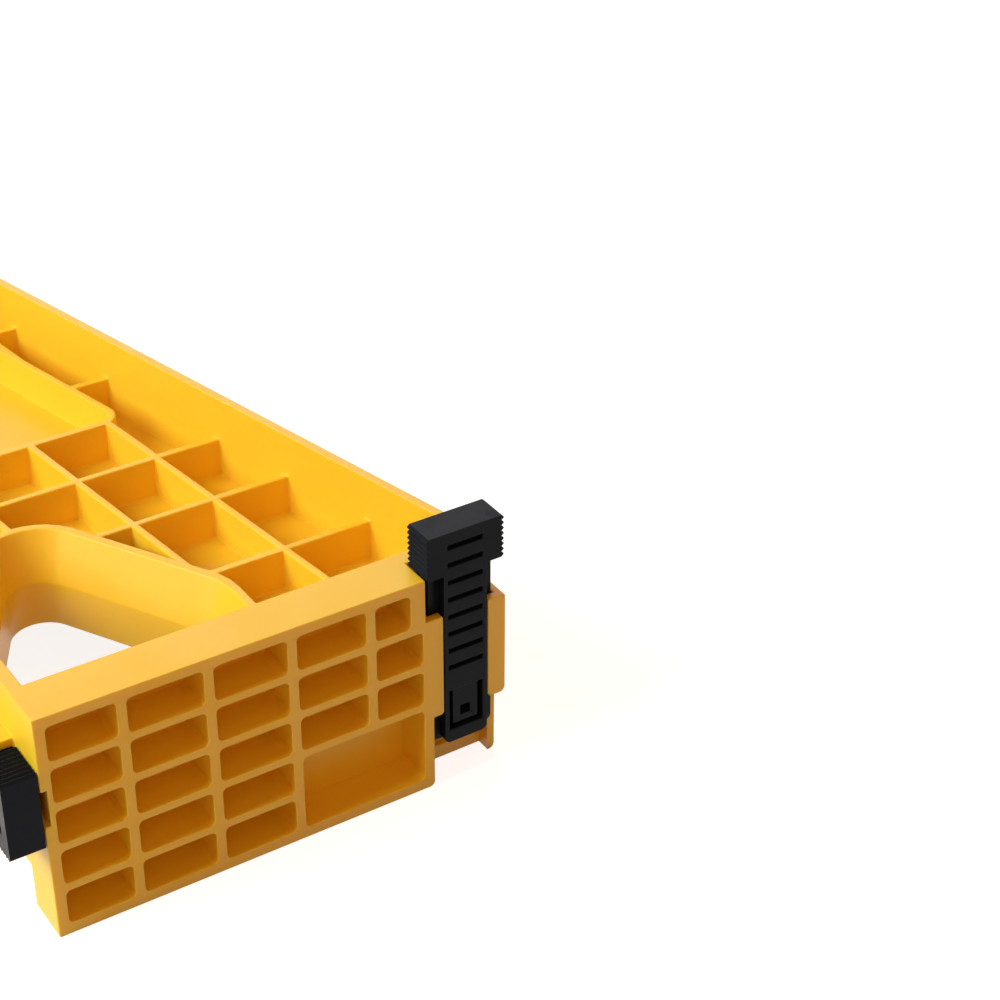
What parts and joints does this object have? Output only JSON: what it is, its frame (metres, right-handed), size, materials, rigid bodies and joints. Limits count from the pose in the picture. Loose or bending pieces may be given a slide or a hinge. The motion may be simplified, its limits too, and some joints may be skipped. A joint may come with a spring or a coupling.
{
  "type": "drawer slide jig",
  "caption": "Tapered moulded drawer slide jig: pocketed end block with a hooked edge, raised ledge, ribbed tray, hand opening and two sliding stops.",
  "frame": {"origin": "under the middle of the whole jig, at the level of the tip of the hooked edge, with the end slider drawn out", "axes": "+X from the end block to the narrow far end, +Y towards the raised ledge, +Z towards the open side that the end slider is drawn out of"},
  "size_m": [0.32, 0.131, 0.0735],
  "materials": {
    "body_plastic": "fine satin moulded plastic",
    "slider_plastic": "satin moulded plastic"
  },
  "bodies": {
    "body": {"jig_body": "body_plastic"},
    "ledge_slide": {"ledge_slider": "slider_plastic"},
    "end_slide": {"end_slider": "slider_plastic"}
  },
  "joints": [
    {"name": "ledge_slider_slide", "type": "slide", "parent": "body", "child": "ledge_slide", "axis": [-1, 0, 0], "range_m": [0, 0.011]},
    {"name": "end_slider_slide", "type": "slide", "parent": "body", "child": "end_slide", "axis": [0, 0, 1], "range_m": [-0.011, 0]}
  ]
}
